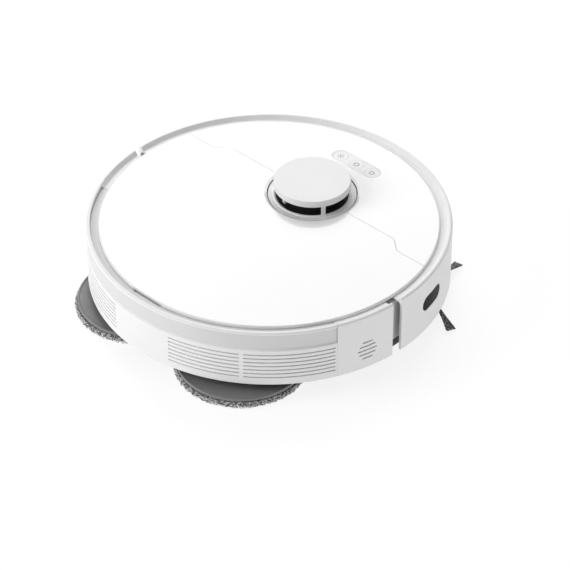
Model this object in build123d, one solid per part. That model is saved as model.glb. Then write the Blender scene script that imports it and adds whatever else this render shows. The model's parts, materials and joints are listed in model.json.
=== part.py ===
from build123d import *
import os
from math import asin, atan2, cos, degrees, hypot, radians, sin

# Robot vacuum with a scanner turret, a sprung front bumper and two spinning mops.
# Millimetres. +Z up, the floor at Z = 0, the origin under the middle of the round body.
# The robot drives towards -Y, so its own right-hand side is -X and its left is +X.

# ---- Driving dimensions -------------------------------------------------------------

BODY_R = 175.0                  # outer wall
WALL = 2.5                      # outer wall thickness
WALL_LOW = 18.5                 # lower edge of the outer wall and underside of the floor
LEDGE_Z = 59.6                  # top of the louvred rear wall
RIM_TOP = 79.0                  # crest that runs all round the top plate
RIM_ROUND = 2.2
CREST_R = 171.8
FLANGE = (160.0, 168.8)         # flat ring inside the crest, running in under the plate
FLANGE_Z = (73.2, 75.0)

PLATE_R = 163.4                 # round top plate: front panel and lid
PLATE_TOP = 77.8
PLATE_T = 2.5
PLATE_LOW = PLATE_TOP - PLATE_T
SEAM_GAP = 0.5

FRAME_R = 166.0                 # inner housing, inside the bumper
FRAME_WALL = 2.4
DECK = (70.0, 72.0)
FLOOR = (WALL_LOW, 21.5)
SILL_Z = 27.0                   # where the inner housing stands on the floor pan

REAR_START = 25.3               # louvred rear wall, degrees from +X
REAR_SWEEP = 180 - 2 * REAR_START
BUMPER_END_Y = {"left": 3.0, "right": 5.5}
PANEL_END_Y = {"left": 11.5, "right": 16.5}
LIP_LOW = 76.8                  # foot of the white lip above the rear band
SEAM_ANGLE = 0.08               # half the seam beside the rear band, degrees
NOTCH_HALF = 19.0               # finger notch at the back of the lid

TURRET = (0.0, -60.0)
TURRET_R = 37.4
TURRET_WALL = 1.6
TURRET_TOP = 93.3
WINDOW_Z = (76.9, 86.4)
POST_ANGLES = (30, 150, 270)

BUTTON_Y = -123.0
BUTTON_STEP = 20.5
BUTTON_R = 7.4
BUTTON_GAP = 0.15
PAD_SIZE = (59.0, 18.0)
PAD_SINK = 0.25                 # how far the pad and the buttons lie below the plate

MOP_X = 67.0
MOP_Y = 108.0
MOP_PAD_R = 64.3
MOP_PAD_TOP = 7.5
MOP_PLATE_R = 61.2
MOP_PLATE_TOP = 10.0
MOP_BEAD_TOP = 10.4

SIDE_BRUSH = (-122.3, -87.8)
SIDE_BRUSH_R = 60.6
SIDE_BRUSH_ROOT = 21.0          # where the tufts leave the hub's sockets
SIDE_BRUSH_ARMS = (-83.1, 36.9, 156.9)
SLOPE_START = 13.6              # the tufts slope down from here, outside the hub
SLOPE_TOP = 12.6
SLOPE_DROP = 9.4

WHEEL_R = 33.0
WHEEL_X = (111.0, 129.0)
ARM_LENGTH = 34.0
ARM_PIN_R = 3.0
TYRE_T = 7.0

CASTER = (0.0, -140.0)
CASTER_R = 9.0
CASTER_TRAIL = 7.0

BRUSH_Y = -46.0
BRUSH_Z = 21.0
BRUSH_R = 20.0
BRUSH_HALF = 67.0
BRUSH_CORE_R = 8.0
TUNNEL_R = 22.6
GUARD_BARS = (-33.5, 0.0, 33.5)

BAY_X = 83.0                    # dust box bay, half width
BAY_Y = (-5.0, 69.0)
BOX_X = 82.0
BOX_Y = (-4.0, 68.0)
BOX_Z = (26.0, 66.0)
BOX_WALL = 1.8
INLET = ((-26.0, 26.0), (29.0, 43.0))
FILTER = ((16.0, 72.0), (36.0, 58.0))

FAN = (112.0, 74.0)
FAN_R = 26.0
FAN_Z = (34.0, 60.0)

ROTOR_R = 29.0
MOUTH_ANGLE = 75.0              # where the scanner's lenses look at rest
BELT_Z = (58.5, 62.5)
ROTOR_PULLEY_R = 20.0
MOTOR_PULLEY_R = 4.0
SCAN_MOTOR = (36.0, -92.0)

SHAFT_GAP = 0.3                 # radial gap between a turning piece and its seat

# ---- Shape helpers ------------------------------------------------------------------


def block(x, y, z):
    """Box between (low, high) limits on each axis."""
    limits = (x, y, z)
    centre = [(low + high) / 2 for low, high in limits]
    size = [high - low for low, high in limits]
    return Pos(*centre) * Box(*size)


def disc(radius, z, at=(0, 0)):
    """Upright cylinder between two heights."""
    return Pos(at[0], at[1], sum(z) / 2) * Cylinder(radius, z[1] - z[0])


def disc_x(radius, x, y, z):
    """Cylinder lying along X between two limits."""
    return Pos(sum(x) / 2, y, z) * Rot(0, 90, 0) * Cylinder(radius, x[1] - x[0])


def ring(outer, inner, z, at=(0, 0)):
    """Upright tube between two heights."""
    over = (z[0] - 1, z[1] + 1)
    return disc(outer, z, at) - disc(inner, over, at)


def outline(points, rounds=None):
    """Closed flat outline, with a radius on the corners named in rounds."""
    sketch = Polygon(*points, align=None)
    for corner, radius in (rounds or {}).items():
        vertex = sketch.vertices().sort_by_distance(Vector(*corner))[0]
        sketch = fillet(vertex, radius)
    return sketch


def turned(points, rounds=None, start=0, sweep=360):
    """Solid of revolution about Z of an outline of (radius, height) points."""
    return Rot(0, 0, start) * revolve(Plane.XZ * outline(points, rounds), Axis.Z, sweep)


def arc_slab(r, z, start, sweep):
    """Part of a round wall, r and z being (low, high)."""
    points = [(r[0], z[0]), (r[1], z[0]), (r[1], z[1]), (r[0], z[1])]
    return turned(points, None, start, sweep)


def prism(sketch, z):
    """Flat outline raised between two heights."""
    return extrude(Pos(0, 0, z[0]) * sketch, z[1] - z[0])


def polar(radius, angle):
    """X and Y of a point given by radius and degrees."""
    return (radius * cos(radians(angle)), radius * sin(radians(angle)))


def end_angle(y):
    """Degrees above +X at which the outer wall crosses a given Y."""
    return degrees(asin(y / BODY_R))


def mirrored(shape, side):
    """The shape as drawn for the left (+X), or its mirror image for the right."""
    return shape if side == "left" else mirror(shape, about=Plane.YZ)


# ---- Outer shell --------------------------------------------------------------------


def rim_section():
    """Outer wall, the crest at its top, and the flange that runs in under the plate."""
    inner = BODY_R - WALL
    low, high = FLANGE_Z
    points = [
        (inner, WALL_LOW), (BODY_R, WALL_LOW), (BODY_R, RIM_TOP), (CREST_R, RIM_TOP),
        (FLANGE[1], high), (FLANGE[0], high), (FLANGE[0], low), (inner - 1.6, low),
        (inner, low - 1.6),
    ]
    rounds = {(BODY_R, RIM_TOP): RIM_ROUND, (CREST_R, RIM_TOP): 0.6, (BODY_R, WALL_LOW): 0.8}
    return points, rounds


def bumper():
    left = end_angle(BUMPER_END_Y["left"])
    right = end_angle(BUMPER_END_Y["right"])
    shell = turned(*rim_section(), 180 - right, 180 + right + left)
    return shell - sensor_opening(0.0)


def sensor_opening(gap):
    """Stadium-shaped bar that points outwards through the bumper's right-hand side."""
    slot = SlotOverall(35.0 - 2 * gap, 16.2 - 2 * gap)
    bar = extrude(slot, 12)
    return Rot(0, 0, -165.5) * Pos(BODY_R - 8, 0, 50.0) * Rot(0, 90, 0) * Rot(0, 0, 90) * bar


def edge_sensor_window():
    lens = arc_slab((BODY_R - 2.2, BODY_R - 0.5), (40, 60), 180, 30)
    return lens & sensor_opening(0.15)


def side_panel(side):
    start = end_angle(PANEL_END_Y[side])
    return mirrored(turned(*rim_section(), start, REAR_START - 0.06 - start), side)


def right_side_panel():
    panel = side_panel("right")
    for row, width in enumerate((11.0, 17.6, 20.6, 17.6, 11.0)):
        z = 39.6 + (row - 2) * 4.6
        sweep = degrees(width / BODY_R)
        panel -= arc_slab((170, 180), (z - 0.75, z + 0.75), 165 - sweep / 2, sweep)
    return panel


def rear_shell():
    inner = BODY_R - WALL
    points = [
        (inner, WALL_LOW), (BODY_R, WALL_LOW), (BODY_R, LEDGE_Z - 1.4),
        (173.2, LEDGE_Z), (inner, LEDGE_Z),
    ]
    shell = turned(points, {(BODY_R, WALL_LOW): 0.8}, REAR_START, REAR_SWEEP)
    groups = ((25.9, 54.1), (55.4, 78.8), (101.5, 124.6), (125.9, 154.1))
    for row in range(7):
        z = 27.1 + row * 4.35
        for start, end in groups:
            shell -= arc_slab((170, 180), (z - 0.65, z + 0.65), start, end - start)
    return shell


def exhaust_mesh():
    return arc_slab((170.8, 172.2), (FLOOR[1], 58.0), REAR_START + 1, REAR_SWEEP - 2)


def rear_band():
    """Inset band, and the flat ring inside the lip, with a pocket for lifting the lid."""
    low, high = FLANGE_Z
    inner = 171.0
    points = [
        (FLANGE[0], low), (inner, low), (inner, LEDGE_Z), (173.4, LEDGE_Z), (173.6, LIP_LOW),
        (inner, LIP_LOW), (inner, high - 0.6), (inner - 0.5, high - 0.6), (inner - 0.5, high),
        (FLANGE[0], high),
    ]
    band = turned(points, None, REAR_START + SEAM_ANGLE, REAR_SWEEP - 2 * SEAM_ANGLE)
    return band - prism(notch_outline(PLATE_R - 6, PLATE_R + 0.4), (high - 1.3, high + 1))


def rear_rim():
    """White lip along the top of the rear band."""
    points = [(171.0, LIP_LOW), (BODY_R, LIP_LOW), (BODY_R, RIM_TOP), (171.0, RIM_TOP)]
    rounds = {(BODY_R, RIM_TOP): 1.4, (171.0, RIM_TOP): 0.6}
    return turned(points, rounds, REAR_START + SEAM_ANGLE, REAR_SWEEP - 2 * SEAM_ANGLE)


def notch_outline(front, back):
    """Finger notch at the back of the lid, between two distances from the middle."""
    half = NOTCH_HALF
    return outline([(-half, front), (half, front), (half - 2, back), (2 - half, back)])


# ---- Top plate ----------------------------------------------------------------------


def plate():
    """Whole round plate with an eased edge, and the dished hole round the turret."""
    eased = [(0.0, 1.2), (0.3, 0.6), (0.8, 0.2), (1.5, 0.0)]
    edge = [(PLATE_R - inward, PLATE_TOP - down) for inward, down in eased]
    whole = turned([(0, PLATE_LOW), (PLATE_R, PLATE_LOW), *edge, (0, PLATE_TOP)])
    hole = [(0, 70), (44.0, 70), (44.0, 76.9), (46.5, PLATE_TOP), (46.5, 80), (0, 80)]
    return whole - Pos(*TURRET, 0) * turned(hole)


def lid_region(shift):
    """Everything behind the stepped seam, moved along Y by shift."""
    front = -58.7
    corner = -47.0
    points = [
        (-200, corner), (-121, corner), (-107, front), (107, front), (121, corner),
        (200, corner), (200, 200), (-200, 200),
    ]
    rounds = {point: 6.0 for point in points[1:5]}
    return prism(Pos(0, shift, 0) * outline(points, rounds), (60, 90))


def front_top_panel():
    panel = plate() - lid_region(-SEAM_GAP / 2)
    panel += arc_slab((148.0, 150.0), (DECK[1], PLATE_LOW), 205, 130)
    return panel - prism(pad_outline(BUTTON_GAP), (PLATE_TOP - 0.9, 80)) - button_holes()


def pad_outline(extra):
    return Pos(0, BUTTON_Y, 0) * SlotOverall(PAD_SIZE[0] + 2 * extra, PAD_SIZE[1] + 2 * extra)


def button_places():
    return {"home": -BUTTON_STEP, "power": 0.0, "spot": BUTTON_STEP}


def button_holes():
    places = button_places().values()
    return [disc(BUTTON_R + BUTTON_GAP, (70, 80), (x, BUTTON_Y)) for x in places]


def button_pad():
    return prism(pad_outline(0), (PLATE_TOP - 0.9, PLATE_TOP - PAD_SINK)) - button_holes()


def button(x):
    cap = disc(BUTTON_R, (76.3, PLATE_TOP - PAD_SINK), (x, BUTTON_Y))
    return cap + disc(2.0, (74.9, 76.3), (x, BUTTON_Y))


def lid():
    cover = plate() & lid_region(SEAM_GAP / 2)
    cover -= prism(notch_outline(PLATE_R - 1.7, PLATE_R + 6), (70, 90))
    for x in (-60, 60):
        cover += block((x - 1, x + 1), (75, 135), (73.4, PLATE_LOW))
    cover += block((-96, 96), (74, 76), (73.4, PLATE_LOW))
    for at in magnet_places():
        cover += ring(6.0, 4.0, (73.0, PLATE_LOW), at)
    return cover


def magnet_places():
    return [(x, y) for x, y in ((-124, -34), (124, -34), (-96, 116), (96, 116))]


def lid_magnets():
    magnets = [disc(4.0, (73.2, PLATE_LOW), at) for at in magnet_places()]
    return Compound(children=magnets)


# ---- Inner structure ----------------------------------------------------------------


def chassis():
    pan = disc(FRAME_R, FLOOR)
    pan += arc_slab((160, 172.0), FLOOR, 8, 164)
    pan += ring(FRAME_R, FRAME_R - FRAME_WALL, (FLOOR[0], SILL_Z))
    cup = disc(19.5, (FLOOR[0], 27.0), CASTER) + disc(6.5, (27.0, 33.0), CASTER)
    pan += cup - disc(17.5, (10, 24.5), CASTER) - disc(ARM_PIN_R + SHAFT_GAP, (10, 40), CASTER)
    pan -= disc(17.5, (10, 24.5), CASTER)
    half = BRUSH_HALF + 5.2
    pan -= block((-half, half), (BRUSH_Y - 25.3, BRUSH_Y + 25.3), (10, 40))
    for sign in (-1, 1):
        pan -= block(sorted((sign * 88.4, sign * 131.2)), (-38.8, 44.8), (10, 26))
        pan -= disc(6.0, (10, 26), (sign * MOP_X, MOP_Y))
        pan += disc(2.5, (FLOOR[1], 45.0), (sign * 30, MOP_Y))
    pan -= disc(6.0, (10, 26), SIDE_BRUSH)
    for at in screw_places():
        pan += disc(4.0, (FLOOR[1], 32.0), at)
        pan -= disc(1.7, (10, 31), at) + disc(3.5, (10, FLOOR[0] + 1.8), at)
    for pocket in sensor_pockets() + contact_pockets():
        pan -= pocket
    return pan


def screw_places():
    return [polar(152, angle) for angle in (-48, -132, -8, 188, 24, 156, 66, 114)]


def bottom_screws():
    screws = []
    for at in screw_places():
        screws.append(disc(3.3, (FLOOR[0], FLOOR[0] + 1.8), at) + disc(1.5, (20.0, 30.0), at))
    return Compound(children=screws)


def sensor_pockets():
    """Places of the four drop sensors, through the floor near its edge."""
    bar = block((148, 157), (-9, 9), FLOOR)
    return [Rot(0, 0, angle) * bar for angle in (-160, -118, -62, -20)]


def cliff_sensors():
    return Compound(children=sensor_pockets())


def contact_pockets():
    """Places of the two charging contacts, either side of the caster."""
    return [block((x - 10, x + 10), (-147, -138), (FLOOR[0] - 1, FLOOR[0] + 1)) for x in (-36, 36)]


def charging_contacts():
    plates = [block((x - 9.8, x + 9.8), (-146.8, -138.2), (18.2, 19.5)) for x in (-36, 36)]
    return Compound(children=plates)


def mid_frame():
    inner = FRAME_R - FRAME_WALL
    frame = ring(FRAME_R, inner, (SILL_Z, DECK[1])) + disc(inner + 1, DECK)
    bay = block((-BAY_X, BAY_X), BAY_Y, (DECK[0] - 44.4, 80))
    walls = block((-BAY_X - 1.6, BAY_X + 1.6), (BAY_Y[0] - 1.6, BAY_Y[1] + 1.6), (24.0, 71.0))
    frame = frame + walls - bay
    frame -= block(INLET[0], (-10, 0), INLET[1]) + block(FILTER[0], (60, 80), FILTER[1])
    frame -= disc(25.0, (60, 80), TURRET)
    for start in (32, 106):
        frame -= arc_slab((160, 170), (34, 58), start, 42)
    return frame - Rot(0, 0, 165) * disc_x(11.0, (160, 170), 0, 39.6)


def battery():
    pack = block((-68, 68), (-118, -76), (22.0, 44.0))
    return fillet(pack.edges().filter_by(Axis.X), 4.0)


def main_board():
    board = block((-50, 50), (-138, -106), (72.4, 74.0))
    for x in (-44, 44):
        board += disc(2.5, (DECK[1], 72.4), (x, -110))
    for x in button_places().values():
        board += disc(3.0, (74.0, 74.2), (x, BUTTON_Y))
    return board


def speaker():
    """Loudspeaker lying on its side behind the grille."""
    body = disc_x(13.0, (158.0, 162.8), 0, 39.6) + disc_x(8.0, (150.0, 158.0), 0, 39.6)
    return Rot(0, 0, 165) * body


def water_tank():
    tank = block((-34, 34), (84, 156), (52.0, 69.6))
    tank -= block((-32.4, 32.4), (85.6, 154.4), (53.6, 68.0))
    return tank - disc(8.0, (65, 75), (0, 120))


# ---- Dust box and suction -----------------------------------------------------------


def dust_box():
    inner_x = BOX_X - BOX_WALL
    inner_y = (BOX_Y[0] + BOX_WALL, BOX_Y[1] - BOX_WALL)
    box = block((-BOX_X, BOX_X), BOX_Y, BOX_Z)
    box = fillet(box.edges().filter_by(Axis.Z), 3.0)
    box -= block((-inner_x, inner_x), inner_y, (BOX_Z[0] + BOX_WALL, 80))
    return box - block(INLET[0], (-10, 0), INLET[1]) - block(FILTER[0], (60, 80), FILTER[1])


def dust_box_cover():
    """Cover with a well for the fingers and a bar across it to lift by."""
    cover = block((-BOX_X, BOX_X), BOX_Y, (BOX_Z[1], 68.0))
    cover = fillet(cover.edges().filter_by(Axis.Z), 3.0)
    cover += block((-32, 32), (10, 56), (54.0, 68.0))
    cover -= block((-30, 30), (12, 54), (56.0, 80))
    bar = block((-32, 32), (29, 37), (64.0, 69.6))
    return cover + fillet(bar.edges().filter_by(Axis.X), 1.5)


def hepa_filter():
    """Pleated filter in a plain surround, set in the back wall of the dust box."""
    x, z = FILTER
    surround = block((x[0] - 2, x[1] + 2), (60.0, 66.0), (z[0] - 2, z[1] + 2))
    surround -= block((x[0], x[1]), (50, 80), z)
    pleats = 14
    pitch = (x[1] - x[0]) / pleats
    front = [(x[0] + n * pitch / 2, 61.0 + 3.0 * (n % 2)) for n in range(2 * pleats + 1)]
    back = [(px, py + 1.2) for px, py in reversed(front)]
    return surround + prism(outline(front + back), z)


def inlet_flap():
    x, z = INLET
    flap = block((x[0] + 0.5, x[1] - 0.5), (-1.9, -0.9), (z[0] - 0.8, z[1] + 0.6))
    return flap + disc_x(1.2, (x[0] - 1, x[1] + 1), -0.9, z[1] + 1.4)


def fan_housing():
    y = (72.6, 82.0)
    outer = disc(FAN_R, FAN_Z, FAN) + block((12, FAN[0]), y, FAN_Z)
    z = (FAN_Z[0] + 1.6, FAN_Z[1] - 1.6)
    hollow = disc(FAN_R - 1.6, z, FAN) + block((13.6, FAN[0]), (y[0] + 1.6, y[1] - 1.6), z)
    outlet = Pos(*FAN, 0) * Rot(0, 0, 40) * block((20, 40), (-9, 9), (40, 54))
    intake = block(FILTER[0], (70, 75), FILTER[1])
    motor = disc(13.0, (50.5, z[1]), FAN)
    return outer - hollow - outlet - intake + motor


def fan_impeller():
    wheel = disc(22.0, (37.0, 38.5), FAN) + disc(6.0, (37.0, 49.6), FAN)
    blade = block((5, 21.5), (-0.6, 0.6), (38.4, 48.5))
    for n in range(9):
        wheel += Pos(*FAN, 0) * Rot(0, 0, n * 40) * Pos(0, 3, 0) * Rot(0, 0, 12) * blade
    return wheel


# ---- Scanner turret -----------------------------------------------------------------


def lidar_base():
    seat = (DECK[1], 73.0)
    base = ring(42.5, 23.0, seat, TURRET) + ring(34.6, ROTOR_R + 0.8, (seat[0], 76.4), TURRET)
    return base + ring(24.8, ROTOR_PULLEY_R + 1.5 + SHAFT_GAP, (64.0, seat[1]), TURRET)


def lidar_rotor():
    """Turning drum with two lens mouths, on a neck that ends in a belt pulley."""
    rotor = disc(ROTOR_R, (74.0, 85.4), TURRET)
    rotor += disc(ROTOR_PULLEY_R + 1.5, (62.5, 74.0), TURRET)
    rotor += disc(ROTOR_PULLEY_R, BELT_Z, TURRET)
    mouths = disc_x(3.6, (20, 32), -8, 80.5) + disc_x(2.6, (20, 32), 9, 80.5)
    return rotor - Pos(*TURRET, 0) * Rot(0, 0, MOUTH_ANGLE) * mouths


def lidar_motor():
    return disc(9.0, (45.5, 57.5), SCAN_MOTOR) + disc(1.2, (57.5, 58.3), SCAN_MOTOR)


def lidar_motor_pulley():
    return disc(MOTOR_PULLEY_R, BELT_Z, SCAN_MOTOR)


def belt_outline(extra):
    """Straight-sided loop round both pulleys, extra outside their faces."""
    dx = SCAN_MOTOR[0] - TURRET[0]
    dy = SCAN_MOTOR[1] - TURRET[1]
    span = hypot(dx, dy)
    lean = degrees(asin((ROTOR_PULLEY_R - MOTOR_PULLEY_R) / span))
    heading = degrees(atan2(dy, dx))
    corners = []
    for side in (-1, 1):
        angle = heading + side * (90 - lean)
        big = polar(ROTOR_PULLEY_R + extra, angle)
        small = polar(MOTOR_PULLEY_R + extra, angle)
        ends = [(TURRET[0] + big[0], TURRET[1] + big[1])]
        ends.append((SCAN_MOTOR[0] + small[0], SCAN_MOTOR[1] + small[1]))
        corners += ends[::-side]
    loop = Polygon(*corners, align=None)
    loop += Pos(*TURRET) * Circle(ROTOR_PULLEY_R + extra)
    return loop + Pos(*SCAN_MOTOR) * Circle(MOTOR_PULLEY_R + extra)


def lidar_belt():
    return prism(belt_outline(1.2) - belt_outline(0.35), (59.5, 61.5))


def turret_cap():
    """Cap, posts and skirt in one moulding, which sinks a little when pushed."""
    inner = TURRET_R - TURRET_WALL
    low, high = WINDOW_Z
    cap = turned(
        [(0, TURRET_TOP - 2), (inner, TURRET_TOP - 2), (inner, high), (TURRET_R, high),
         (TURRET_R, TURRET_TOP), (0, TURRET_TOP)],
        {(TURRET_R, TURRET_TOP): 0.9, (TURRET_R, high): 0.4},
    )
    skirt = turned(
        [(35.4, 75.0), (43.0, 75.0), (43.0, 76.4), (38.6, 75.9), (38.0, low), (36.4, low),
         (36.4, 75.9), (35.4, 75.9)],
        {(38.0, low): 0.4, (43.0, 76.4): 0.5},
    )
    shell = cap + skirt
    for angle in POST_ANGLES:
        shell += arc_slab((35.6, TURRET_R - 0.3), (75.4, high + 2), angle - 3.3, 6.6)
    return Pos(*TURRET, 0) * shell


# ---- Wheels -------------------------------------------------------------------------


def wheel_frame():
    """Well over one drive wheel, with the pin that its arm swings on."""
    well = block((86.8, 132.8), (-40.4, 46.4), (FLOOR[1], 69.6))
    well -= block((88.4, 131.2), (-38.8, 44.8), (10, 68.0))
    return well + disc_x(ARM_PIN_R, (88.0, 110.4), ARM_LENGTH, WHEEL_R)


def wheel_frames():
    left = wheel_frame()
    return Compound(children=[left, mirror(left, about=Plane.YZ)])


def wheel_gearbox(side):
    """Swinging arm with the drive motor on its inner face and the stub axle outside."""
    x = (101.0, 109.6)
    arm = disc_x(12.0, x, 0, WHEEL_R) + disc_x(9.0, x, ARM_LENGTH, WHEEL_R)
    arm += block(x, (0, ARM_LENGTH), (WHEEL_R - 9, WHEEL_R + 9))
    arm += disc_x(9.5, (89.6, x[0]), 15, WHEEL_R)
    arm += disc_x(3.0, (x[1], 127.0), 0, WHEEL_R)
    return mirrored(arm - disc_x(ARM_PIN_R + SHAFT_GAP, (80, 115), ARM_LENGTH, WHEEL_R), side)


def wheel_hub(side):
    radius = WHEEL_R - TYRE_T
    hub = disc_x(radius, WHEEL_X, 0, WHEEL_R)
    hub -= disc_x(3.0 + SHAFT_GAP, (105, 127.5), 0, WHEEL_R)
    dish = disc_x(radius - 3, (WHEEL_X[1] - 4, WHEEL_X[1] + 1), 0, WHEEL_R)
    hub -= dish - disc_x(8.0, (WHEEL_X[1] - 5, WHEEL_X[1] + 2), 0, WHEEL_R)
    for n in range(5):
        spoke = block((WHEEL_X[1] - 4, WHEEL_X[1] - 1), (7, radius - 2), (-1.5, 1.5))
        hub += Pos(0, 0, WHEEL_R) * Rot(n * 72, 0, 0) * spoke
    return mirrored(hub, side)


def wheel_tyre(side):
    tyre = disc_x(WHEEL_R, WHEEL_X, 0, WHEEL_R)
    tyre = fillet(tyre.edges(), 1.5) - disc_x(WHEEL_R - TYRE_T, (100, 140), 0, WHEEL_R)
    groove = block((WHEEL_X[0] - 1, WHEEL_X[1] + 1), (-1.2, 1.2), (WHEEL_R - 1.5, WHEEL_R + 2))
    for n in range(24):
        tyre -= Pos(0, 0, WHEEL_R) * Rot(n * 15 + 7.5, 0, 0) * groove
    return mirrored(tyre, side)


def caster_fork():
    x, y = CASTER
    axle_y = y + CASTER_TRAIL
    fork = disc(16.0, (19.2, 22.0), CASTER) + disc(ARM_PIN_R, (22.0, 32.0), CASTER)
    for sign in (-1, 1):
        leg = block(sorted((x + sign * 6.6, x + sign * 9.0)), (axle_y - 4, axle_y + 4), (5.0, 19.6))
        fork += leg
    return fork + disc_x(1.6, (x - 7, x + 7), axle_y, CASTER_R)


def caster_wheel():
    x, y = CASTER
    wheel = disc_x(CASTER_R, (x - 6, x + 6), y + CASTER_TRAIL, CASTER_R)
    wheel = fillet(wheel.edges(), 1.5)
    return wheel - disc_x(1.6 + SHAFT_GAP, (x - 9, x + 9), y + CASTER_TRAIL, CASTER_R)


# ---- Main brush and side brush ------------------------------------------------------


def brush_housing():
    half = BRUSH_HALF + 4.5
    x = (-half, half)
    outer = disc_x(TUNNEL_R + 2.4, x, BRUSH_Y, BRUSH_Z)
    outer += block(x, (BRUSH_Y - 25, BRUSH_Y + 25), (11.0, BRUSH_Z))
    outer += block((-32, 32), (BRUSH_Y, BAY_Y[0] - 1.7), (26.0, 46.0))
    inner_x = (-BRUSH_HALF - 2, BRUSH_HALF + 2)
    hollow = disc_x(TUNNEL_R, inner_x, BRUSH_Y, BRUSH_Z)
    hollow += block(inner_x, (BRUSH_Y - TUNNEL_R, BRUSH_Y + TUNNEL_R), (5, BRUSH_Z))
    throat = block((-30, 30), (BRUSH_Y + 10, 0), (28.0, 44.0))
    bearings = disc_x(3.0 + SHAFT_GAP, (-80, 80), BRUSH_Y, BRUSH_Z)
    below = block((-80, 80), (BRUSH_Y - 40, BRUSH_Y + 40), (-10, 11.0))
    return outer - hollow - throat - bearings - below


def brush_guard():
    half = BRUSH_HALF + 4.5
    guard = block((-half, half), (BRUSH_Y - 25, BRUSH_Y + 25), (9.2, 11.0))
    guard -= block((2 - half, half - 2), (BRUSH_Y - 22.0, BRUSH_Y + 22.0), (5, 15))
    for x in GUARD_BARS:
        guard += block((x - 1.5, x + 1.5), (BRUSH_Y - 23, BRUSH_Y + 23), (9.2, 11.0))
    return guard


def main_brush_core():
    core = disc_x(BRUSH_CORE_R, (-BRUSH_HALF, BRUSH_HALF), BRUSH_Y, BRUSH_Z)
    return core + disc_x(3.0, (-BRUSH_HALF - 4, BRUSH_HALF + 4), BRUSH_Y, BRUSH_Z)


def main_brush_blades():
    """Rubber sleeves with fins, one sleeve for each space between the guard's bars."""
    edges = [-BRUSH_HALF, *GUARD_BARS, BRUSH_HALF]
    sleeves = []
    for n in range(4):
        x = (edges[n] + (4 if n else 0.5), edges[n + 1] - (4 if n < 3 else 0.5))
        sleeve = disc_x(BRUSH_CORE_R + 2, x, 0, 0)
        for fin in range(6):
            sleeve += Rot(fin * 60 + n * 15, 0, 0) * block(x, (-0.8, 0.8), (8.5, BRUSH_R))
        sleeve -= disc_x(BRUSH_CORE_R, (-90, 90), 0, 0)
        sleeves.append(Pos(0, BRUSH_Y, BRUSH_Z) * sleeve)
    return Compound(children=sleeves)


def brush_motor():
    gearbox = block((72.8, 84.8), (-66, -42.5), (22.0, 46.0))
    bore = disc_x(4.0, (72.0, 76.0), BRUSH_Y, BRUSH_Z)
    return gearbox + disc_x(9.5, (84.8, 116.0), -56, 35.0) - bore


def brush_arm(length, root, middle, tip, thick):
    """Flat strip between two radii, sloping down to the floor, with three half widths."""
    start, end = length
    mid = (start + end) / 2
    sides = [(start, root), (mid, middle), (end, tip)]
    strip = outline([(r, -half) for r, half in sides] + [(r, half) for r, half in sides[::-1]])
    slope = degrees(atan2(SLOPE_DROP, SIDE_BRUSH_R - SLOPE_START))
    flat = Pos(-SLOPE_START, 0, 0) * prism(strip, (-thick / 2, thick / 2))
    return Pos(SLOPE_START, 0, SLOPE_TOP) * Rot(0, slope, 0) * flat


def side_brush_arms(arm):
    return [Pos(*SIDE_BRUSH, 0) * Rot(0, 0, angle) * arm for angle in SIDE_BRUSH_ARMS]


def side_brush_hub():
    """Round hub with a tapered socket for each tuft."""
    hub = disc(13.5, (10.5, 17.4), SIDE_BRUSH)
    hub = fillet(hub.edges().sort_by(Axis.Z)[0], 2.0)
    for socket in side_brush_arms(brush_arm((9.0, SIDE_BRUSH_ROOT), 4.6, 3.6, 2.6, 3.6)):
        hub += socket
    return hub + disc(3.0, (17.4, 30.0), SIDE_BRUSH)


def side_brush_bristles():
    """Three flat tufts that widen and slope down to the floor."""
    tuft = brush_arm((SIDE_BRUSH_ROOT, SIDE_BRUSH_R), 1.5, 2.2, 4.6, 1.8)
    return Compound(children=side_brush_arms(tuft))


def side_brush_motor():
    x, y = SIDE_BRUSH
    motor = disc(12.5, (22.0, 36.0), SIDE_BRUSH) + disc_x(7.5, (x, -74.0), y, 29.6)
    return motor - disc(3.0 + SHAFT_GAP, (10, 32), SIDE_BRUSH)


# ---- Mops ---------------------------------------------------------------------------


def mop_gearbox():
    """Flat case over both mop spindles, with the motor on top; the lift raises it whole."""
    case = prism(Pos(0, MOP_Y) * SlotOverall(2 * (MOP_X + 20), 40.0), (22.6, 36.0))
    case -= prism(Pos(0, MOP_Y) * SlotOverall(2 * (MOP_X + 18), 36.0), (24.6, 34.0))
    for sign in (-1, 1):
        case -= disc(4.0 + SHAFT_GAP, (20, 40), (sign * MOP_X, MOP_Y))
        case -= disc(3.0, (20, 40), (sign * 30, MOP_Y))
    return case + disc_x(6.0, (-22, 22), MOP_Y + 9, 38.0)


def mop_spindle(side):
    """Drive shaft with its worm wheel and the six-sided foot that holds the mop plate."""
    shaft = disc(4.0, (12.0, 38.0)) + disc(5.4, (MOP_PLATE_TOP, 12.0))
    shaft += disc(15.0, (26.0, 31.5)) + disc(7.0, (25.0, 26.0))
    notch = block((13.4, 16.0), (-0.8, 0.8), (25.0, 33.0))
    for n in range(24):
        shaft -= Rot(0, 0, n * 15) * notch
    return mirrored(Pos(MOP_X, MOP_Y, 0) * shaft, side)


def mop_plate(side):
    bead = MOP_PLATE_R - 1.8
    points = [
        (0, MOP_PAD_TOP), (MOP_PLATE_R, MOP_PAD_TOP), (MOP_PLATE_R, MOP_BEAD_TOP),
        (bead, MOP_BEAD_TOP), (bead - 0.6, MOP_PLATE_TOP), (0, MOP_PLATE_TOP),
    ]
    plate_disc = turned(points, {(MOP_PLATE_R, MOP_BEAD_TOP): 0.6})
    return mirrored(Pos(MOP_X, MOP_Y, 0) * plate_disc, side)


def mop_pad(side):
    pad = disc(MOP_PAD_R, (0, MOP_PAD_TOP), (MOP_X, MOP_Y))
    return mirrored(pad, side)


# ---- Every sub-part by name ---------------------------------------------------------

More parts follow.
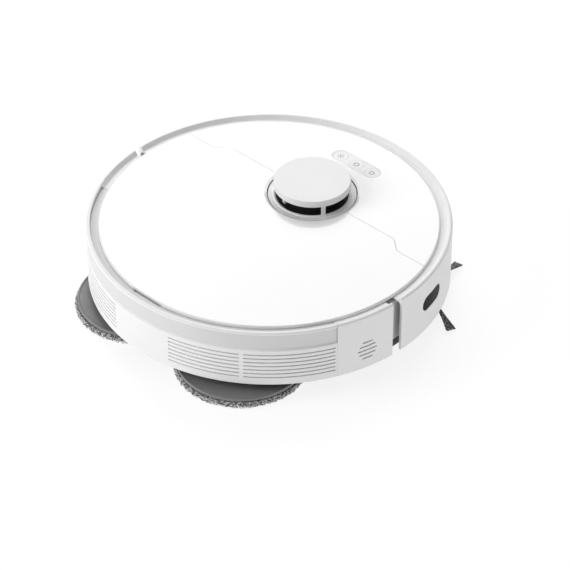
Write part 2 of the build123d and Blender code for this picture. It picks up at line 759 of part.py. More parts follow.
MODEL = {
    "chassis": chassis(),
    "bottom_screws": bottom_screws(),
    "cliff_sensors": cliff_sensors(),
    "charging_contacts": charging_contacts(),
    "mid_frame": mid_frame(),
    "battery": battery(),
    "main_board": main_board(),
    "speaker": speaker(),
    "water_tank": water_tank(),
    "rear_shell": rear_shell(),
    "exhaust_mesh": exhaust_mesh(),
    "rear_band": rear_band(),
    "rear_rim": rear_rim(),
    "left_side_panel": side_panel("left"),
    "right_side_panel": right_side_panel(),
    "bumper": bumper(),
    "edge_sensor_window": edge_sensor_window(),
    "front_top_panel": front_top_panel(),
    "button_pad": button_pad(),
    "lid": lid(),
    "lid_magnets": lid_magnets(),
    "dust_box": dust_box(),
    "dust_box_cover": dust_box_cover(),
    "hepa_filter": hepa_filter(),
    "inlet_flap": inlet_flap(),
    "fan_housing": fan_housing(),
    "fan_impeller": fan_impeller(),
    "turret_cap": turret_cap(),
    "lidar_base": lidar_base(),
    "lidar_rotor": lidar_rotor(),
    "lidar_motor": lidar_motor(),
    "lidar_motor_pulley": lidar_motor_pulley(),
    "lidar_belt": lidar_belt(),
    "wheel_frames": wheel_frames(),
    "caster_fork": caster_fork(),
    "caster_wheel": caster_wheel(),
    "brush_housing": brush_housing(),
    "brush_guard": brush_guard(),
    "brush_motor": brush_motor(),
    "main_brush_core": main_brush_core(),
    "main_brush_blades": main_brush_blades(),
    "side_brush_motor": side_brush_motor(),
    "side_brush_hub": side_brush_hub(),
    "side_brush_bristles": side_brush_bristles(),
    "mop_gearbox": mop_gearbox(),
}
for name, x in button_places().items():
    MODEL[f"{name}_button"] = button(x)
for side in ("left", "right"):
    MODEL[f"{side}_wheel_gearbox"] = wheel_gearbox(side)
    MODEL[f"{side}_wheel_hub"] = wheel_hub(side)
    MODEL[f"{side}_wheel_tyre"] = wheel_tyre(side)
    MODEL[f"{side}_mop_spindle"] = mop_spindle(side)
    MODEL[f"{side}_mop_plate"] = mop_plate(side)
    MODEL[f"{side}_mop_pad"] = mop_pad(side)

os.makedirs("parts", exist_ok=True)
for name, shape in MODEL.items():
    export_step(shape, f"parts/{name}.step")
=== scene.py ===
import json
import math
import random

import bpy
import numpy as np
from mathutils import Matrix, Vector


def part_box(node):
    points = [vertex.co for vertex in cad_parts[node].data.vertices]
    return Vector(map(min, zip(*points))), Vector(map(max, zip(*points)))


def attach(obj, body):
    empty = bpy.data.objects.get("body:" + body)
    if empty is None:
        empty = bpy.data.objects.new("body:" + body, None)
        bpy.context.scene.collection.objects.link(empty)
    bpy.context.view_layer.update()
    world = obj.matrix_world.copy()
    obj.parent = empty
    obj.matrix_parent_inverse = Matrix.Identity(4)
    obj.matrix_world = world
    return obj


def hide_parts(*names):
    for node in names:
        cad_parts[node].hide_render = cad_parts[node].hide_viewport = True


# Robot vacuum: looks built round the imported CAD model. Metres, +Z up, the front towards -Y,
# the robot's own left-hand side is +X.

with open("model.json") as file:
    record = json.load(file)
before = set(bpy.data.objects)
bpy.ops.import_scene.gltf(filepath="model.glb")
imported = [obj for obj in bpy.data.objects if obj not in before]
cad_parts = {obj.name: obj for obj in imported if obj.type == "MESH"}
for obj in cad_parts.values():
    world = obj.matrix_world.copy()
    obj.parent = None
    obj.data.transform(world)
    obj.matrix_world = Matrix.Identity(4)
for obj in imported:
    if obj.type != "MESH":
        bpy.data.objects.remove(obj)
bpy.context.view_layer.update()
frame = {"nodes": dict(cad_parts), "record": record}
nodes = frame["nodes"]

MM = 0.001
SEED = 7
SIDES = ("left", "right")


# ---- Camera and studio --------------------------------------------------------------

CAMERA_PLACE = (-1.55695, 1.61633, 1.76505)
CAMERA_AZIMUTH = math.radians(223.544)
CAMERA_ELEVATION = math.radians(38.221)
CAMERA_LENS = 185.83

WORLD_STRENGTH = 0.30
FLOOR_SIZE = 30
FLOOR_HEIGHT = -0.0004          # just below the mop pads and the wheels
FLOOR_GLOW = 0.85               # lifts the floor to white in the Standard view

# Name, azimuth and elevation in degrees, distance and diameter in metres, power in watts
LIGHTS = (
    ("key", 54, 27, 2.8, 1.8, 45),
    ("back", -46.5, 44, 2.8, 2.6, 49),
    ("low_right", 176, 5, 2.4, 0.8, 6),
)


def make_camera():
    data = bpy.data.cameras.new("camera")
    data.lens = CAMERA_LENS
    data.sensor_width = 36.0
    data.clip_start = 0.05
    data.clip_end = 60.0
    camera = bpy.data.objects.new("camera", data)
    bpy.context.scene.collection.objects.link(camera)
    away = Vector((
        math.sin(CAMERA_AZIMUTH) * math.cos(CAMERA_ELEVATION),
        -math.cos(CAMERA_AZIMUTH) * math.cos(CAMERA_ELEVATION),
        math.sin(CAMERA_ELEVATION),
    ))
    camera.location = CAMERA_PLACE
    camera.rotation_mode = "QUATERNION"
    camera.rotation_quaternion = (-away).to_track_quat("-Z", "Y")
    bpy.context.scene.camera = camera


def area_light(name, azimuth, elevation, distance, size, power):
    """Round soft light in a given direction from the robot, aimed at it."""
    data = bpy.data.lights.new(name, "AREA")
    data.shape = "DISK"
    data.size = size
    data.energy = power
    light = bpy.data.objects.new(name, data)
    bpy.context.scene.collection.objects.link(light)
    turn = math.radians(azimuth)
    rise = math.radians(elevation)
    out = Vector((
        math.cos(rise) * math.cos(turn), math.cos(rise) * math.sin(turn), math.sin(rise)
    ))
    light.location = out * distance
    light.rotation_mode = "QUATERNION"
    light.rotation_quaternion = (-out).to_track_quat("-Z", "Y")


def make_studio():
    """A white floor, pale surroundings and three soft lights."""
    world = bpy.data.worlds.new("studio")
    bpy.context.scene.world = world
    world.use_nodes = True
    background = world.node_tree.nodes["Background"]
    background.inputs["Color"].default_value = (1, 1, 1, 1)
    background.inputs["Strength"].default_value = WORLD_STRENGTH
    bpy.context.scene.view_settings.view_transform = "Standard"

    for light in LIGHTS:
        area_light(*light)

    bpy.ops.mesh.primitive_plane_add(size=FLOOR_SIZE, location=(0, 0, FLOOR_HEIGHT))
    floor = bpy.context.object
    floor.name = "floor"
    material, bsdf = new_material("studio_floor")
    bsdf.inputs["Base Color"].default_value = (0.2, 0.2, 0.2, 1)
    bsdf.inputs["Roughness"].default_value = 0.9
    bsdf.inputs["Specular IOR Level"].default_value = 0.1
    bsdf.inputs["Emission Color"].default_value = (1, 1, 1, 1)
    bsdf.inputs["Emission Strength"].default_value = FLOOR_GLOW
    floor.data.materials.append(material)


# ---- Materials ----------------------------------------------------------------------


def middle(node):
    low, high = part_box(node)
    return (low + high) / 2


def new_material(name):
    material = bpy.data.materials.new(name)
    material.use_nodes = True
    return material, material.node_tree.nodes["Principled BSDF"]


class Graph:
    """Short calls for building one material's node tree."""

    def __init__(self, material):
        self.tree = material.node_tree
        self.place = self.add("ShaderNodeTexCoord").outputs["Object"]

    def add(self, kind, **settings):
        node = self.tree.nodes.new(kind)
        for key, value in settings.items():
            setattr(node, key, value)
        return node

    def link(self, start, end):
        self.tree.links.new(start, end)

    def noise(self, scale, detail=3.0, roughness=0.5, place=None):
        node = self.add("ShaderNodeTexNoise")
        node.inputs["Scale"].default_value = scale
        node.inputs["Detail"].default_value = detail
        node.inputs["Roughness"].default_value = roughness
        self.link(place or self.place, node.inputs["Vector"])
        return node.outputs["Fac"]

    def cells(self, scale):
        node = self.add("ShaderNodeTexVoronoi", feature="F1")
        node.inputs["Scale"].default_value = scale
        self.link(self.place, node.inputs["Vector"])
        return node.outputs["Distance"]

    def spread(self, value, low, high, start=0.3, end=0.7):
        """Maps a texture's middle range to low..high."""
        node = self.add("ShaderNodeMapRange")
        node.inputs["From Min"].default_value = start
        node.inputs["From Max"].default_value = end
        node.inputs["To Min"].default_value = low
        node.inputs["To Max"].default_value = high
        self.link(value, node.inputs["Value"])
        return node.outputs["Result"]

    def ramp(self, value, *stops):
        """Colour ramp from (position, colour) stops."""
        node = self.add("ShaderNodeValToRGB")
        elements = node.color_ramp.elements
        while len(elements) < len(stops):
            elements.new(0.5)
        for element, (position, colour) in zip(elements, stops):
            element.position = position
            element.color = (*colour, 1)
        self.link(value, node.inputs["Fac"])
        return node.outputs["Color"]

    def stretched(self, scale):
        node = self.add("ShaderNodeMapping")
        node.inputs["Scale"].default_value = scale
        self.link(self.place, node.inputs["Vector"])
        return node.outputs["Vector"]

    def bump(self, bsdf, height, distance, strength=1.0):
        node = self.add("ShaderNodeBump")
        node.inputs["Strength"].default_value = strength
        node.inputs["Distance"].default_value = distance
        self.link(height, node.inputs["Height"])
        self.link(node.outputs["Normal"], bsdf.inputs["Normal"])


def grey(level):
    return (level, level, level)


def shade(colour, change):
    """The colour made lighter or darker by a share."""
    return tuple(min(1.0, c * (1 + change)) for c in colour)


def moulded(name, colour, roughness, grain=0.004, vary=0.015, coat=0.0):
    """Injection-moulded plastic: faint mottling, uneven gloss and a grain that deep in mm."""
    material, bsdf = new_material(name)
    graph = Graph(material)
    mottle = graph.noise(22, 4)
    graph.link(
        graph.ramp(mottle, (0.3, shade(colour, -vary)), (0.7, shade(colour, vary))),
        bsdf.inputs["Base Color"],
    )
    gloss = graph.noise(160, 5)
    graph.link(graph.spread(gloss, roughness - 0.05, roughness + 0.05), bsdf.inputs["Roughness"])
    bsdf.inputs["Coat Weight"].default_value = coat
    bsdf.inputs["Coat Roughness"].default_value = 0.12
    graph.bump(bsdf, graph.noise(420, 4, 0.6), grain * MM)
    return material


def glossy_top(name, colour):
    """Lacquered white plate: almost flat, with a slow ripple under a hard clear coat."""
    material, bsdf = new_material(name)
    graph = Graph(material)
    graph.link(
        graph.ramp(graph.noise(9, 3), (0.3, shade(colour, -0.012)), (0.7, shade(colour, 0.012))),
        bsdf.inputs["Base Color"],
    )
    graph.link(graph.spread(graph.noise(70, 5), 0.10, 0.16), bsdf.inputs["Roughness"])
    bsdf.inputs["Coat Weight"].default_value = 0.5
    bsdf.inputs["Coat Roughness"].default_value = 0.03
    graph.bump(bsdf, graph.noise(14, 2), 0.01 * MM, 0.3)
    return material


def fine_mesh(name, colour):
    """Pressed filter mesh: rows of small holes, painted darker for the shade inside them."""
    material, bsdf = new_material(name)
    graph = Graph(material)
    holes = graph.cells(900)
    # painted shade: the colour darkens towards each hole's centre
    graph.link(
        graph.ramp(holes, (0.12, shade(colour, -0.35)), (0.4, colour)), bsdf.inputs["Base Color"]
    )
    bsdf.inputs["Roughness"].default_value = 0.7
    graph.bump(bsdf, holes, 0.3 * MM)
    return material


def smoked(name, colour):
    """Dark infrared window: glossy, with a faint cloudiness across its face."""
    material, bsdf = new_material(name)
    graph = Graph(material)
    graph.link(
        graph.ramp(graph.noise(60, 2), (0.35, colour), (0.7, shade(colour, 0.8))),
        bsdf.inputs["Base Color"],
    )
    graph.link(graph.spread(graph.noise(300, 3), 0.18, 0.28), bsdf.inputs["Roughness"])
    bsdf.inputs["IOR"].default_value = 1.1
    return material


def rubber(name, colour, roughness=0.72):
    material, bsdf = new_material(name)
    graph = Graph(material)
    dust = graph.noise(120, 6, 0.65)
    graph.link(
        graph.ramp(dust, (0.35, colour), (0.75, shade(colour, 0.9))), bsdf.inputs["Base Color"]
    )
    graph.link(graph.spread(dust, roughness - 0.1, roughness + 0.12), bsdf.inputs["Roughness"])
    graph.bump(bsdf, graph.noise(2200, 4, 0.7), 0.03 * MM)
    return material


def metal(name, colour, roughness, stretch):
    """Brushed or plated metal: its fine lines run across the axis that stretch scales most."""
    material, bsdf = new_material(name)
    graph = Graph(material)
    lines = graph.noise(900, 4, 0.6, graph.stretched(stretch))
    graph.link(
        graph.ramp(lines, (0.3, shade(colour, -0.1)), (0.7, shade(colour, 0.08))),
        bsdf.inputs["Base Color"],
    )
    bsdf.inputs["Metallic"].default_value = 1.0
    graph.link(graph.spread(lines, roughness - 0.06, roughness + 0.1), bsdf.inputs["Roughness"])
    graph.bump(bsdf, lines, 0.004 * MM)
    return material


def circuit_board(name):
    """Solder mask with copper tracks showing through."""
    material, bsdf = new_material(name)
    graph = Graph(material)
    tracks = graph.add("ShaderNodeTexBrick")
    tracks.inputs["Scale"].default_value = 260
    tracks.inputs["Color1"].default_value = (0.008, 0.10, 0.04, 1)
    tracks.inputs["Color2"].default_value = (0.012, 0.13, 0.05, 1)
    tracks.inputs["Mortar"].default_value = (0.10, 0.30, 0.10, 1)
    graph.link(graph.place, tracks.inputs["Vector"])
    graph.link(tracks.outputs["Color"], bsdf.inputs["Base Color"])
    bsdf.inputs["Roughness"].default_value = 0.32
    graph.bump(bsdf, tracks.outputs["Fac"], 0.02 * MM)
    return material


def woven(name, colour, scale, depth):
    """Matt fibrous cloth or paper, with fibres that deep in mm."""
    material, bsdf = new_material(name)
    graph = Graph(material)
    fibres = graph.noise(scale, 8, 0.75)
    graph.link(
        graph.ramp(fibres, (0.3, shade(colour, -0.3)), (0.7, shade(colour, 0.15))),
        bsdf.inputs["Base Color"],
    )
    bsdf.inputs["Roughness"].default_value = 0.95
    bsdf.inputs["Sheen Weight"].default_value = 0.3
    graph.bump(bsdf, fibres, depth * MM)
    return material


def speckled_yarn(name, dark, light):
    """Microfibre loops of two yarns, dark and light, mixed loop by loop."""
    material, bsdf = new_material(name)
    graph = Graph(material)
    loops = graph.noise(520, 2, 0.4)
    graph.link(graph.ramp(loops, (0.42, dark), (0.58, light)), bsdf.inputs["Base Color"])
    bsdf.inputs["Roughness"].default_value = 0.95
    bsdf.inputs["Sheen Weight"].default_value = 0.4
    graph.bump(bsdf, graph.noise(3200, 4, 0.7), 0.05 * MM)
    return material


def filament(name, dark, light):
    """Nylon bristles, some catching the light and some not: the lighter streaks are a painted
    highlight.
    """
    material, bsdf = new_material(name)
    graph = Graph(material)
    highlight_streaks = graph.noise(700, 2, 0.5)
    # painted highlight: light streaks painted among the dark filaments
    graph.link(graph.ramp(highlight_streaks, (0.45, dark), (0.62, light)), bsdf.inputs["Base Color"])
    bsdf.inputs["Roughness"].default_value = 0.4
    return material


def brushed_disc(name, colour, centre):
    """Moulded plate with faint turned rings about its own centre."""
    material, bsdf = new_material(name)
    graph = Graph(material)
    offset = graph.add("ShaderNodeVectorMath", operation="SUBTRACT")
    offset.inputs[1].default_value = centre
    graph.link(graph.place, offset.inputs[0])
    rings = graph.add("ShaderNodeTexWave", wave_type="RINGS", rings_direction="Z")
    rings.inputs["Scale"].default_value = 380
    rings.inputs["Distortion"].default_value = 1.5
    graph.link(offset.outputs["Vector"], rings.inputs["Vector"])
    haze = graph.noise(30, 5)
    graph.link(
        graph.ramp(haze, (0.3, shade(colour, -0.06)), (0.7, shade(colour, 0.06))),
        bsdf.inputs["Base Color"],
    )
    graph.link(graph.spread(graph.noise(260, 4), 0.42, 0.55), bsdf.inputs["Roughness"])
    graph.bump(bsdf, rings.outputs["Fac"], 0.01 * MM)
    return material


def make_materials():
    return {
        "white_shell": moulded("white_shell", grey(0.86), 0.5),
        "white_plate": glossy_top("white_plate", grey(0.86)),
        "button_white": moulded("button_white", grey(0.81), 0.3, grain=0.002),
        "light_band": moulded("light_band", grey(0.70), 0.42, grain=0.002),
        "vent_grey": fine_mesh("vent_grey", grey(0.42)),
        "black_base": moulded("black_base", (0.018, 0.018, 0.019), 0.55, grain=0.02, vary=0.12),
        "grey_frame": moulded("grey_frame", (0.60, 0.60, 0.605), 0.5, grain=0.012, vary=0.05),
        "smoked_window": smoked("smoked_window", (0.006, 0.006, 0.008)),
        "scanner_black": moulded("scanner_black", grey(0.010), 0.5, vary=0.2),
        "rubber_black": rubber("rubber_black", grey(0.02)),
        "tyre_rubber": rubber("tyre_rubber", (0.025, 0.025, 0.026), 0.8),
        "bristle_grey": moulded("bristle_grey", grey(0.10), 0.45, vary=0.3),
        "bristle_yarn": filament("bristle_yarn", grey(0.07), grey(0.50)),
        **{
            plate: brushed_disc(plate, grey(0.215), middle(plate))
            for plate in (f"{side}_mop_plate" for side in SIDES)
        },
        "mop_cloth": woven("mop_cloth", grey(0.36), 1500, 0.3),
        "mop_yarn": speckled_yarn("mop_yarn", grey(0.16), grey(0.9)),
        "steel": metal("steel", grey(0.58), 0.3, (1, 8, 1)),
        "contact_metal": metal("contact_metal", (0.78, 0.60, 0.30), 0.25, (8, 1, 1)),
        "magnet_metal": metal("magnet_metal", grey(0.66), 0.15, (1, 1, 1)),
        "board_green": circuit_board("board_green"),
        "battery_wrap": moulded("battery_wrap", (0.02, 0.03, 0.08), 0.3, vary=0.1, coat=0.4),
        "dust_clear": moulded("dust_clear", (0.05, 0.05, 0.055), 0.12, vary=0.1, coat=0.6),
        "filter_paper": woven("filter_paper", (0.80, 0.80, 0.77), 900, 0.1),
        "belt_rubber": rubber("belt_rubber", grey(0.03)),
        "icon_grey": moulded("icon_grey", grey(0.20), 0.5),
    }


def paint(obj, material):
    obj.data.materials.clear()
    obj.data.materials.append(material)


def paint_cad_nodes(materials):
    """Each CAD node takes the look of its slot, with finer ones for the mops and the buttons."""
    for row in frame["record"]["subparts"]:
        name = row["node"]
        slot = row["material_slot"]
        if name.endswith("mop_plate"):
            slot = name
        if slot == "mop_pad_fabric":
            slot = "mop_cloth"
        if "button" in name:
            slot = "button_white"
        paint(nodes[name], materials[slot])


# ---- Mesh helpers -------------------------------------------------------------------


def mesh_object(name, vertices, faces, material, smooth=True):
    mesh = bpy.data.meshes.new(name)
    mesh.from_pydata([tuple(v) for v in vertices], [], [tuple(f) for f in faces])
    mesh.update()
    mesh.polygons.foreach_set("use_smooth", [smooth] * len(mesh.polygons))
    obj = bpy.data.objects.new(name, mesh)
    bpy.context.scene.collection.objects.link(obj)
    paint(obj, material)
    return obj


SIDEWAYS = (0.31, 0.17, 0.94)     # no strand runs in this direction


def strands(name, paths, radii, sides, material):
    """One mesh of closed tubes, one along each path; radii holds one list of widths a path."""
    vertices = []
    faces = []
    for path, widths in zip(paths, radii):
        path = np.asarray(path, float)
        along = np.gradient(path, axis=0)
        along /= np.linalg.norm(along, axis=1)[:, None]
        across = np.cross(along, SIDEWAYS)
        across /= np.linalg.norm(across, axis=1)[:, None]
        up = np.cross(along, across)
        base = len(vertices)
        for point, a, b, width in zip(path, across, up, widths):
            for n in range(sides):
                turn = 2 * math.pi * n / sides
                vertices.append(point + width * (a * math.cos(turn) + b * math.sin(turn)))
        for row in range(len(path) - 1):
            for n in range(sides):
                here = base + row * sides
                right = (n + 1) % sides
                faces.append((here + n, here + right, here + sides + right, here + sides + n))
        faces.append(tuple(base + n for n in reversed(range(sides))))
        last = base + (len(path) - 1) * sides
        faces.append(tuple(last + n for n in range(sides)))
    return mesh_object(name, vertices, faces, material)


def lathe(name, profile, centre, material, steps, wobble):
    """Closed solid of revolution of (radius, height) points, from the axis and back to it.

    wobble gives the change of radius and height at a row of the profile and a turn round it.
    """
    vertices = []
    faces = []
    rings = len(profile)
    for row, (radius, height) in enumerate(profile):
        for n in range(steps):
            turn = 2 * math.pi * n / steps
            dr, dz = wobble(row, turn)
            r = max(radius + dr, 0.0)
            vertices.append((
                centre[0] + r * math.cos(turn), centre[1] + r * math.sin(turn), height + dz
            ))
    for row in range(rings - 1):
        for n in range(steps):
            here = row * steps
            right = (n + 1) % steps
            faces.append((here + n, here + right, here + steps + right, here + steps + n))
    faces.append(tuple(reversed(range(steps))))
    faces.append(tuple((rings - 1) * steps + n for n in range(steps)))
    return mesh_object(name, vertices, faces, material)


# ---- Mop pads -----------------------------------------------------------------------


RIM_ROW = 6                       # half-way along a pad's profile, by its rim
UNDERSIDE_ROW = 10                # from here the profile is the pad's flat underside
RUFF_DEPTH = 3.2                  # how far the loops stand out from the pad's body, mm

# Height as a share of the pad's, reach as a share of the ruff's depth, number of loops
LOOP_ROWS = (
    (0.82, 0.7, 330),
    (0.68, 0.9, 340),
    (0.54, 1.0, 360),
    (0.42, 0.98, 380),
    (0.3, 0.8, 300),
)
LOOP_STEPS = 5
LOOP_ROOT = 0.8                   # how deep a loop is rooted in the body, mm


def mop_pad(side, materials, rng):
    """Round pad of looped microfibre: a soft body under the plate and a ruff of loops round it."""
    low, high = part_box(f"{side}_mop_pad")
    centre = (low + high) / 2
    top = high.z
    reach = (high.x - low.x) / 2
    phases = [rng.uniform(0, 2 * math.pi) for _ in range(6)]

    def wobble(row, turn):
        """Uneven edge of the cloth: more at the rim than under the plate."""
        share = (row / RIM_ROW) if row <= RIM_ROW else max(0.0, (2 * RIM_ROW - row) / RIM_ROW)
        wave = sum(math.sin((5 + 7 * k) * turn + p) for k, p in enumerate(phases)) / 6
        return (-0.9 * MM * abs(wave) * share, 0.25 * MM * wave * share * (row < UNDERSIDE_ROW))

    body_r = reach - RUFF_DEPTH * MM
    profile = [
        (0.0, top), (body_r - 9 * MM, top), (body_r - 5 * MM, top - 0.2 * MM),
        (body_r - 2 * MM, top - 0.8 * MM), (body_r - 0.6 * MM, top - 2.0 * MM),
        (body_r, top - 3.2 * MM), (body_r - 0.8 * MM, top - 4.8 * MM),
        (body_r - 2.6 * MM, top - 6.2 * MM), (body_r - 5.0 * MM, 0.6 * MM),
        (body_r - 9 * MM, 0.25 * MM), (body_r * 0.5, 0.2 * MM), (0.0, 0.2 * MM),
    ]
    pad = lathe(f"{side}_mop_cloth", profile, centre, materials["mop_cloth"], 160, wobble)
    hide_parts(f"{side}_mop_pad")
    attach(pad, f"{side}_mop")

    loops = mop_loops(centre, body_r, reach, top, rng)
    ruff = strands(f"{side}_mop_loops", *loops, 4, materials["mop_yarn"])
    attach(ruff, f"{side}_mop")


def mop_loops(centre, body_r, reach, top, rng):
    """Paths and radii of yarn loops rooted round the rim of a pad, in uneven clumps."""
    clumps = [(rng.randint(9, 60), rng.uniform(0, 2 * math.pi)) for _ in range(6)]
    paths = []
    radii = []
    root = LOOP_ROOT * MM
    for height, share, count in LOOP_ROWS:
        for n in range(count):
            turn = 2 * math.pi * (n + rng.uniform(-0.6, 0.6)) / count
            clump = sum(math.sin(many * turn + phase) for many, phase in clumps) / 6
            out = (reach - body_r) * (share + 0.3 * clump)
            out = min(out + rng.uniform(-1.0, 0.3) * MM, reach - body_r)
            spread = rng.uniform(0.5, 1.1) * MM
            yarn = rng.uniform(0.24, 0.38) * MM
            z = top * height + rng.uniform(-0.5, 0.5) * MM
            droop = rng.uniform(-1.2, 0.3) * MM
            path = []
            for step in range(LOOP_STEPS + 1):
                t = step / LOOP_STEPS
                r = body_r - root + (out + root - yarn) * math.sin(math.pi * t)
                side = spread * math.sin(2 * math.pi * (t - 0.5)) + rng.uniform(-0.15, 0.15) * MM
                angle = turn + (side + (t - 0.5) * 0.6 * MM) / body_r
                lift = min(max(z + droop * math.sin(math.pi * t), yarn), top - yarn)
                path.append((
                    centre.x + r * math.cos(angle), centre.y + r * math.sin(angle), lift
                ))
            paths.append(path)
            radii.append([yarn] * len(path))
    return paths, radii


# ---- Brushes ------------------------------------------------------------------------

SIDE_BRUSH_CENTRE = (-0.1223, -0.0878, 0.0)
SIDE_BRUSH_ARMS = (-83.1, 36.9, 156.9)     # directions of the tufts, degrees
TUFT_FILAMENTS = 110
TUFT_RADII = (19.5, 60.4)         # root and tip, mm from the hub's axis
TUFT_ROOT_Z = 11.3
TUFT_FALL = 8.3                   # how far a tuft slopes down to its tip, mm
TUFT_STEPS = 7
FILAMENT_WIDTHS = (0.22,) * 6 + (0.19, 0.14)

MAIN_BRUSH_BARS = (-33.5, 0.0, 33.5)       # places of the guard's bars across the mouth, mm
BAR_ROOM = 4                      # gap between a bar and the fins on either side, mm
FINS = 6
FIN_CELLS = (5, 18)               # across and along one fin
FIN_TWIST = 22                    # wind along the core, degrees
FIN_STAGGER = 15                  # turn between one segment and the next, degrees
FIN_SWEEP = 14                    # turn of a fin's edge past its root, degrees


def side_brush_tufts(materials, rng):
    """Three tufts of single nylon filaments, bound at the root and flaring towards the tip."""
    tuft_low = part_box("side_brush_bristles")[0]
    hub = Vector(SIDE_BRUSH_CENTRE)
    paths = []
    radii = []
    root_r = TUFT_RADII[0] * MM
    for arm in SIDE_BRUSH_ARMS:
        angle = math.radians(arm)
        for _ in range(TUFT_FILAMENTS):
            fan = rng.uniform(-1, 1)
            tip_r = (TUFT_RADII[1] - 3.0 * rng.random() ** 2) * MM
            layer = rng.uniform(-0.8, 0.8) * MM
            bend = rng.uniform(-0.4, 0.4) * MM
            path = []
            for step in range(TUFT_STEPS + 1):
                t = step / TUFT_STEPS
                r = root_r + (tip_r - root_r) * t
                across = fan * (1.0 + 3.9 * t ** 2.3) * MM + bend * math.sin(math.pi * t)
                height = TUFT_ROOT_Z * MM - TUFT_FALL * MM * t ** 1.1 + layer * (1 - 0.4 * t)
                path.append((
                    hub.x + r * math.cos(angle) - across * math.sin(angle),
                    hub.y + r * math.sin(angle) + across * math.cos(angle),
                    max(height, tuft_low.z + 0.3 * MM),
                ))
            paths.append(path)
            radii.append([width * MM for width in FILAMENT_WIDTHS])
    tufts = strands("side_brush_tufts", paths, radii, 4, materials["bristle_yarn"])
    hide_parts("side_brush_bristles")
    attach(tufts, "side_brush")


def main_brush_fins(materials):
    """Curved rubber fins with notched edges, wound a little round the core."""
    low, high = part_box("main_brush_core")
    axis_y = (low.y + high.y) / 2
    axis_z = (low.z + high.z) / 2
    fins_low, fins_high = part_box("main_brush_blades")
    root_r = (high.z - low.z) / 2
    tip_r = (fins_high.z - fins_low.z) / 2
    ends = [fins_low.x, *[bar * MM for bar in MAIN_BRUSH_BARS], fins_high.x]
    last = len(MAIN_BRUSH_BARS)
    vertices = []
    faces = []
    for segment in range(last + 1):
        x0 = ends[segment] + (BAR_ROOM * MM if segment else 0)
        x1 = ends[segment + 1] - (BAR_ROOM * MM if segment < last else 0)
        sleeve_tube(vertices, faces, (x0, x1), axis_y, axis_z, root_r + 0.02 * MM, 2 * MM)
        for fin in range(FINS):
            fin_sheet(vertices, faces, (x0, x1), axis_y, axis_z, root_r, tip_r, fin, segment)
    fins = mesh_object("main_brush_fins", vertices, faces, materials["rubber_black"])
    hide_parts("main_brush_blades")
    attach(fins, "main_brush")


def sleeve_tube(vertices, faces, x, axis_y, axis_z, inner, wall):
    """Closed rubber sleeve round the core."""
    steps = 36
    base = len(vertices)
    section = [(x[0], inner), (x[0], inner + wall), (x[1], inner + wall), (x[1], inner)]
    for px, r in section:
        for n in range(steps):
            turn = 2 * math.pi * n / steps
            vertices.append((px, axis_y + r * math.cos(turn), axis_z + r * math.sin(turn)))
    for row in range(len(section)):
        for n in range(steps):
            a = base + row * steps
            b = base + ((row + 1) % len(section)) * steps
            right = (n + 1) % steps
            faces.append((a + n, a + right, b + right, b + n))


def fin_sheet(vertices, faces, x, axis_y, axis_z, root_r, tip_r, fin, segment):
    """One rubber fin: thick at its root, thin and notched at its edge, and slightly swept."""
    across, along = FIN_CELLS
    twist = math.radians(FIN_TWIST) * (1 if segment % 2 else -1)
    start = math.radians(fin * 360 / FINS + segment * FIN_STAGGER)
    base = len(vertices)
    for face in (-1, 1):
        for i in range(along + 1):
            u = i / along
            px = x[0] + (x[1] - x[0]) * u
            notch = 1.2 * MM if i % 3 == 1 else 0.0
            for j in range(across + 1):
                v = j / across
                r = root_r + 1.4 * MM + (tip_r - notch - root_r - 1.5 * MM) * v
                thick = (1.1 - 0.6 * v) * MM / 2
                turn = start + twist * (u - 0.5)
                turn += math.radians(FIN_SWEEP) * v * v + face * thick / r
                vertices.append((px, axis_y + r * math.cos(turn), axis_z + r * math.sin(turn)))
    row = across + 1
    sheet = (along + 1) * row
    for i in range(along):
        for j in range(across):
            a = base + i * row + j
            faces.append((a, a + row, a + row + 1, a + 1))
            b = a + sheet
            faces.append((b, b + 1, b + row + 1, b + row))
    rim = [i * row for i in range(along + 1)]
    rim += [along * row + j for j in range(1, row)]
    rim += [i * row + across for i in range(along - 1, -1, -1)]
    rim += [j for j in range(across - 1, 0, -1)]
    for here, ahead in zip(rim, rim[1:] + rim[:1]):
        faces.append((base + here, base + ahead, base + sheet + ahead, base + sheet + here))


# ---- Small details ------------------------------------------------------------------


def ring_icon(outer, inner, start=0.0, sweep=360.0, steps=48):
    """Flat ring or arc, as (points, faces) in millimetres round the origin."""
    closed = sweep >= 360
    count = steps if closed else steps + 1
    points = []
    for n in range(count):
        turn = math.radians(start + sweep * n / steps)
        points.append((outer * math.cos(turn), outer * math.sin(turn)))
        points.append((inner * math.cos(turn), inner * math.sin(turn)))
    faces = []
    for n in range(steps):
        a = 2 * n
        b = 2 * ((n + 1) % count)
        faces.append((a, b, b + 1, a + 1))
    return points, faces


def raised(name, shapes, centre, height, depth, material):
    """Thin inlay made of flat shapes, given a small thickness."""
    vertices = []
    faces = []
    for points, flat in shapes:
        base = len(vertices)
        count = len(points)
        for z in (height, height - depth):
            vertices += [(centre[0] + x * MM, centre[1] + y * MM, z) for x, y in points]
        edges = {}
        for face in flat:
            faces.append(tuple(base + i for i in face))
            faces.append(tuple(base + count + i for i in reversed(face)))
            for a, b in zip(face, face[1:] + face[:1]):
                edges[(a, b)] = True
        for a, b in edges:
            if (b, a) not in edges:
                faces.append((base + b, base + a, base + count + a, base + count + b))
    return mesh_object(name, vertices, faces, material, smooth=False)


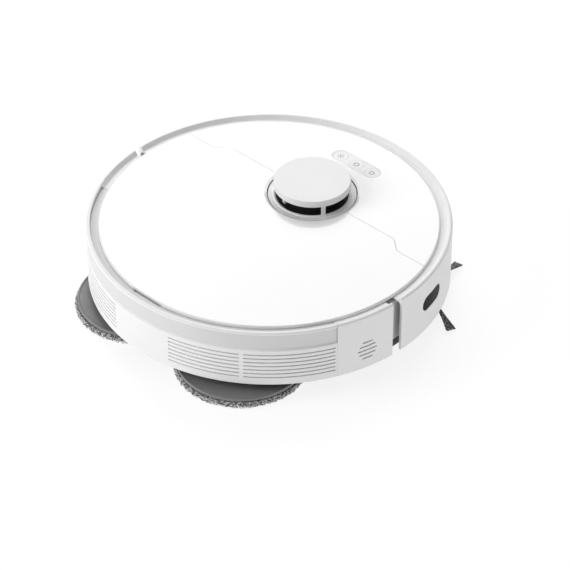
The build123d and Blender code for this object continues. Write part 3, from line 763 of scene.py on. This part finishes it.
def button_icons(materials):
    """Generic signs inlaid in the three buttons: a ring, a power sign and a ring of dots."""
    dots = []
    for n in range(8):
        points, flat = ring_icon(0.5, 0.0, steps=10)
        turn = math.radians(45 * n)
        moved = [(x + 2.7 * math.cos(turn), y + 2.7 * math.sin(turn)) for x, y in points]
        dots.append((moved, flat))
    bar = ([(-0.3, 0.6), (0.3, 0.6), (0.3, 3.4), (-0.3, 3.4)], [(0, 1, 2, 3)])
    signs = {
        "home": [ring_icon(2.7, 1.9)],
        "power": [ring_icon(3.0, 2.2, 120, 300), bar],
        "spot": [*dots, ring_icon(0.9, 0.0, steps=16)],
    }
    for name, shapes in signs.items():
        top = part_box(f"{name}_button")[1].z
        icon = raised(
            f"{name}_icon", shapes, middle(f"{name}_button"), top + 0.05 * MM, 0.15 * MM,
            materials["icon_grey"],
        )
        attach(icon, f"{name}_button")


BRACKET_RADII = (28.5, 32.6)      # mm from the turret's axis
BRACKET_TURNS = (71.0, 79.0)      # degrees from +X
BRACKET_HEIGHTS = (77.4, 80.4)    # mm above the floor


def scanner_bracket(materials):
    """Small light bracket on the side of the scanner's drum."""
    axis = middle("turret_cap")
    vertices = []
    for radius in BRACKET_RADII:
        for turn in BRACKET_TURNS:
            for height in BRACKET_HEIGHTS:
                angle = math.radians(turn)
                vertices.append((
                    axis.x + radius * MM * math.cos(angle),
                    axis.y + radius * MM * math.sin(angle),
                    height * MM,
                ))
    faces = [(0, 1, 3, 2), (4, 6, 7, 5), (0, 4, 5, 1), (2, 3, 7, 6), (0, 2, 6, 4), (1, 5, 7, 3)]
    bracket = mesh_object("scanner_bracket", vertices, faces, materials["grey_frame"], smooth=False)
    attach(bracket, "lidar_rotor")


# ---- Putting it together ------------------------------------------------------------

make_camera()
make_studio()
all_materials = make_materials()
paint_cad_nodes(all_materials)
numbers = random.Random(SEED)
for mop_side in SIDES:
    mop_pad(mop_side, all_materials, numbers)
side_brush_tufts(all_materials, numbers)
main_brush_fins(all_materials)
button_icons(all_materials)
scanner_bracket(all_materials)

bpy.context.view_layer.update()
